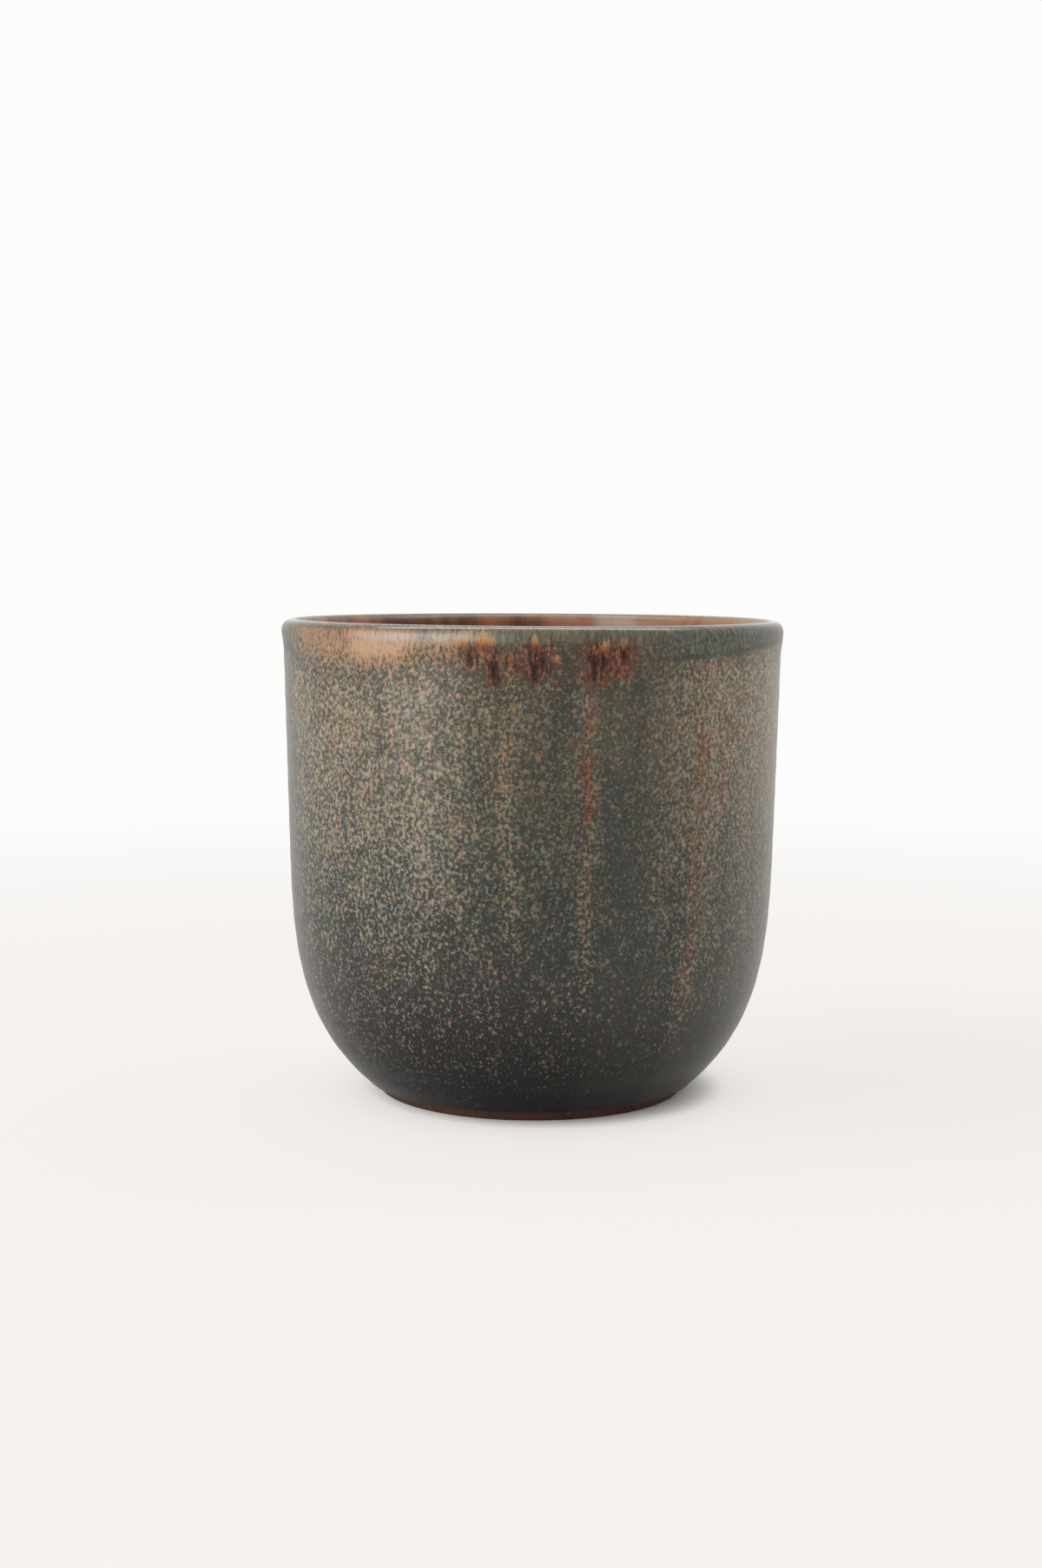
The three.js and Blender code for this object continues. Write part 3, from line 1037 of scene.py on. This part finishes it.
def speckled_wall(look, noises):
    """Fine crystals and single soft spots on the dark glaze. Also returns the crystals and their level."""
    rust = look.broken("rust", look.frayed((noises.patches, -0.7, 0.45)))
    level = look.mixed(noises.grain, 0.72, noises.fine)
    level = look.plus(level, look.times(noises.slow, 0.1))
    level = look.plus(level, look.times(noises.drift, 0.1))
    crystal = look.remap(look.minus(level, "needed"), -0.12, 0.15)
    # Paler darks where misty, partly a painted sheen
    crystal = look.plus(crystal, look.times(look.minus(0.45, crystal), "mist_and_painted_sheen"))
    colour = look.blend(crystal, dark_ground(look, noises, rust), crystal_colour(look, noises, rust), 0.88)

    spot, spot_tone = look.spots(noises.flow, 0.85)
    spot_colour = look.palette(spot_tone, [
        (0, (176, 116, 88)),
        (0.35, (188, 142, 102)),
        (0.7, (184, 160, 124)),
        (1, (166, 160, 144)),
    ])
    colour = look.blend(look.times(spot, "accents"), colour, look.dimmed(spot_colour, "pale"))
    return look.tinted(colour, noises.flow, 0.8, 0.95), crystal, level


def lip_washes(look, noises, colour):
    """The veil, the smooth bands, the amber washes and a painted sheen below the lip, over a colour."""
    hair = noises.hair
    veil = look.palette(hair, [(0.36, (72, 68, 58)), (0.5, (102, 95, 82)), (0.64, (136, 125, 106))])
    colour = look.blend("veil", colour, veil, 0.5)
    band_tone = look.mixed(hair, 0.5, noises.grain)
    band = look.palette(band_tone, [(0.4, (52, 60, 56)), (0.5, (72, 78, 72)), (0.62, (100, 101, 91))])
    colour = look.blend("band", colour, band, 0.85)
    colour = look.blend("band_line", colour, srgb(46, 56, 54), 0.65)

    amber = look.palette(look.mixed("amber", 0.45, hair), [
        (0.34, (126, 84, 58)),
        (0.5, (156, 112, 80)),
        (0.64, (172, 135, 103)),
        (0.8, (178, 148, 120)),
    ])
    edges = look.frayed((hair, -0.2, 0.15), (noises.grain, -0.3, 0.2))
    colour = look.blend(look.broken("amber", edges), colour, look.dimmed(amber, "amber_light"), 0.9)
    # Painted sheen: the window's pale reflection painted onto the glaze below the lip
    painted_sheen = look.times("painted_sheen", look.remap(hair, 0.35, 0.65, 0.3, 0.8))
    colour = look.blend(painted_sheen, colour, srgb(168, 165, 155))
    return look.blend("lip_line", colour, srgb(62, 54, 42), 0.6)


def burnt_streaks(look, noises, colour):
    """Maroon patches with orange tips and black drips, over a colour. Also returns the patches."""
    hair = noises.hair
    edges = look.frayed((noises.streak, -0.4, 0.3), (noises.grain, -0.3, 0.2))
    patches = look.times(look.broken("burnt", edges), look.remap(noises.fine, 0.35, 0.65, 0.6, 1))
    maroon_tone = look.mixed(hair, 0.65, noises.grain)
    maroon = look.palette(maroon_tone, [(0.4, (34, 20, 19)), (0.5, (92, 50, 43)), (0.61, (142, 94, 76))])
    colour = look.blend(patches, colour, look.tinted(maroon, noises.flow, 1.6, 0.7), 0.9)

    orange = look.palette(look.plus("tips_down", look.frayed((hair, -0.3, 0.3))), [
        (0.15, (176, 150, 112)),
        (0.42, (172, 116, 66)),
        (0.62, (142, 74, 44)),
        (0.9, (96, 54, 44)),
    ])
    edges = look.frayed((hair, -0.45, 0.4), (noises.streak, -0.2, 0.2))
    colour = look.blend(look.broken("tips", edges), colour, orange, 0.8)
    edges = look.plus(edges, look.frayed((noises.grain, -0.35, 0.2)))
    drips = look.times(look.broken("drips", edges), look.remap(noises.fine, 0.36, 0.54, 0.5, 1))
    return look.blend(drips, colour, srgb(22, 15, 14), 0.95), patches


def outside_layers(look):
    """Colour, roughness, height and gloss of the outside."""
    noises = outside_noises(look)
    colour, crystal, level = speckled_wall(look, noises)
    colour = lip_washes(look, noises, colour)
    colour, burnt = burnt_streaks(look, noises, colour)
    roughness = look.remap(crystal, 0, 1, GROUND_ROUGHNESS, CRYSTAL_ROUGHNESS)
    gloss = look.remap("pool", 0, 1, WALL_GLOSS, FOOT_GLOSS)
    gloss = look.times(gloss, look.remap(burnt, 0, 1, 1, BURNT_GLOSS_SHARE))
    return colour, roughness, level, gloss


def inside_layers(look):
    """Colour, roughness and height of the inside: amber-brown that runs down and pools dark on the floor."""
    flow = look.stored("flow")
    streak = look.noise(look.scaled(flow, (1, 1, 0.3)), 0.55, 2, 0.5)
    clouds = look.noise(look.scaled(flow, (1, 1, 0.6)), 0.13, 2, 0.5)
    wall = look.palette(look.plus(look.mixed(clouds, 0.7, streak), "inner_tone"), [
        (0.36, (92, 56, 45)),
        (0.46, (120, 77, 54)),
        (0.56, (150, 98, 64)),
        (0.66, (158, 114, 86)),
    ])
    wall = look.tinted(wall, flow, 0.9, 0.35)
    # Painted reflection: a pale patch on the inner wall below the lip
    wall = look.blend("painted_reflection", wall, srgb(184, 158, 138), 0.75)
    grain = look.noise(flow, 1.1)
    floor = look.palette(grain, [(0.4, (34, 33, 31)), (0.56, (58, 50, 42)), (0.7, (120, 88, 60))])
    floor_share = look.remap(look.plus("pool", look.times(streak, 0.5)), 0.45, 0.95)
    return look.blend(floor_share, wall, floor), look.remap(grain, *NOISE_SPAN, *LINER_ROUGHNESS), grain


# Materials


def outer_glaze():
    look = Look("outer_glaze")
    colour, roughness, height, gloss = outside_layers(look)
    return look.finish(colour, roughness, height, OUTER_RELIEF, gloss, SKIN_WEIGHT)


def liner_glaze():
    look = Look("liner_glaze")
    colour, roughness, height = inside_layers(look)
    return look.finish(colour, roughness, height, LINER_RELIEF, LINER_GLOSS)


def rim_glaze():
    """The outside's layers as far as the crest of the lip, and the inside's beyond it."""
    look = Look("rim_glaze")
    inside = look.stored("inside")
    crest = look.stored("crest")
    colour, roughness, height, gloss = outside_layers(look)
    inner_colour, inner_roughness, _ = inside_layers(look)
    colour = look.blend(inside, colour, inner_colour)
    roughness = look.remap(inside, 0, 1, roughness, look.plus(inner_roughness, INNER_RIM_DULLING))
    slow = look.noise("flow", 0.1, 2, 0.5)
    lip = look.palette(slow, [(0.38, (84, 88, 80)), (0.5, (98, 90, 76)), (0.62, (116, 92, 72))])
    lip = look.blend(look.remap(inside, 0.2, 0.8), lip, srgb(122, 98, 66))
    colour = look.blend("lip_tint", colour, lip, 0.6)
    polished = look.times(crest, look.remap(inside, 0, 0.6, 1, 0))
    roughness = look.minus(roughness, look.times(polished, LIP_POLISH))
    height = look.times(height, look.minus(1, crest))
    gloss = look.math("MAXIMUM", gloss, look.remap(polished, 0, 1, 0, LIP_GLOSS))
    return look.finish(colour, roughness, height, RIM_RELIEF, gloss)


def bare_clay():
    """Matte red-brown stoneware with turning marks round its axis, dark iron specks and pale sand."""
    look = Look("bare_clay")
    place = look.node("ShaderNodeTexCoord").outputs["Object"]
    fine = look.noise(place, 1400)
    slow = look.noise(place, 120)
    marks = look.noise("flow", 1.1, 3, 0.65)
    colour = look.palette(slow, [(0.3, (72, 48, 39)), (0.55, (86, 58, 47)), (0.75, (76, 55, 47))])
    colour = look.dimmed(colour, look.remap(marks, *NOISE_SPAN, 0.88, 1.12))
    colour = look.blend(look.remap(fine, 0.6, 0.7), colour, srgb(54, 34, 28))
    colour = look.blend(look.remap(fine, 0.36, 0.3), colour, srgb(116, 88, 70))
    return look.finish(colour, CLAY_ROUGHNESS, look.mixed(fine, 0.55, marks), CLAY_RELIEF, CLAY_GLOSS)


# Stage


def floor_material():
    """Pale and matte under the cup's shadow, and as white as the background further out."""
    look = Look("floor")
    look.tree.nodes.remove(look.shader)
    place = look.node("ShaderNodeTexCoord").outputs["Object"]
    from_cup = look.away(place, CONTACT_CENTRE)
    white_share = look.ramp(from_cup, [(radius, (share, share, share, 1)) for radius, share in WHITE_SHARES])
    white_share = look.times(white_share, look.seen_directly())
    white = look.blend(look.remap(from_cup, *NEAR_WHITE_FADE), NEAR_WHITE, BACKGROUND_WHITE)
    shade = look.remap(look.away(place, SHADE_CENTRE), 0, SHADE_RADIUS, SHADE_LEVEL, 1)
    glow = look.node("ShaderNodeEmission", look.dimmed(white, shade))
    matte = look.node("ShaderNodeBsdfDiffuse", FLOOR_COLOUR)
    mix = look.node("ShaderNodeMixShader", white_share, matte.outputs[0], glow.outputs[0])
    look.put(look.tree.nodes["Material Output"].inputs["Surface"], mix.outputs[0])
    return look.material


def stage_floor():
    mesh = bpy.data.meshes.new("floor")
    corners = [(-1, -1), (1, -1), (1, 1), (-1, 1)]
    mesh.from_pydata([(x * FLOOR_REACH, y * FLOOR_REACH, 0) for x, y in corners], [], [(0, 1, 2, 3)])
    mesh.materials.append(floor_material())
    floor = bpy.data.objects.new("floor", mesh)
    bpy.context.scene.collection.objects.link(floor)


def surroundings():
    """White where it is seen. As light on the cup it is nearly even, and dim from behind the camera."""
    world = bpy.data.worlds.new("studio")
    bpy.context.scene.world = world
    world.use_nodes = True
    world.node_tree.nodes.clear()
    nodes = Nodes(world.node_tree)
    direction = nodes.node("ShaderNodeTexCoord").outputs["Generated"]
    up = nodes.node("ShaderNodeSeparateXYZ", direction).outputs["Z"]
    sky = nodes.remap(up, 0, 1, HORIZON_LEVEL, ZENITH_LEVEL, ease="LINEAR")
    towards_room = nodes.vector_math("DOT_PRODUCT", direction, ROOM_DIRECTION).outputs["Value"]
    room = nodes.remap(towards_room, *ROOM_EDGES, 1, ROOM_LEVEL)
    strength = nodes.node("ShaderNodeMix", nodes.seen_directly())
    nodes.put(strength.inputs["A"], nodes.times(sky, room))
    strength.inputs["B"].default_value = 1
    light = nodes.node("ShaderNodeBackground", BACKGROUND_WHITE, strength.outputs[0])
    nodes.node("ShaderNodeOutputWorld", light.outputs[0])


def soft_light(name, place, width, height, power):
    light = bpy.data.lights.new(name, "AREA")
    light.shape = "RECTANGLE"
    light.size = width
    light.size_y = height
    light.energy = power
    lamp = bpy.data.objects.new(name, light)
    lamp.location = place
    lamp.rotation_euler = (Vector(LAMP_TARGET) - Vector(place)).to_track_quat("-Z", "Y").to_euler()
    bpy.context.scene.collection.objects.link(lamp)


def camera():
    """The photograph's view: a normal lens from a little above the rim, looking slightly down."""
    data = bpy.data.cameras.new("camera")
    data.lens = CAMERA_LENS
    data.sensor_width = CAMERA_SENSOR
    data.clip_start = CAMERA_NEAREST
    view = bpy.data.objects.new("camera", data)
    bpy.context.scene.collection.objects.link(view)
    pitch = Matrix.Rotation(math.radians(90 - CAMERA_DIP), 4, "X")
    roll = Matrix.Rotation(math.radians(CAMERA_ROLL), 4, "Z")
    view.matrix_world = Matrix.Translation(CAMERA_PLACE) @ (pitch @ roll)
    bpy.context.scene.camera = view


# Scene

bpy.context.scene.view_settings.view_transform = "Standard"
camera()
surroundings()
stage_floor()
for lamp in LAMPS:
    soft_light(*lamp)

pieces = [
    (clay_piece(), "stoneware_body", "bare_clay", bare_clay()),
    (outer_glaze_piece(), "outer_glaze", "outer_glaze", outer_glaze()),
    (liner_glaze_piece(), "liner_glaze", "liner_glaze", liner_glaze()),
    (rim_glaze_piece(), "rim_glaze", "rim_glaze", rim_glaze()),
]
for piece, node, slot, material in pieces:
    piece.data.materials.append(material)
    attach(piece, "root")
    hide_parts(node)
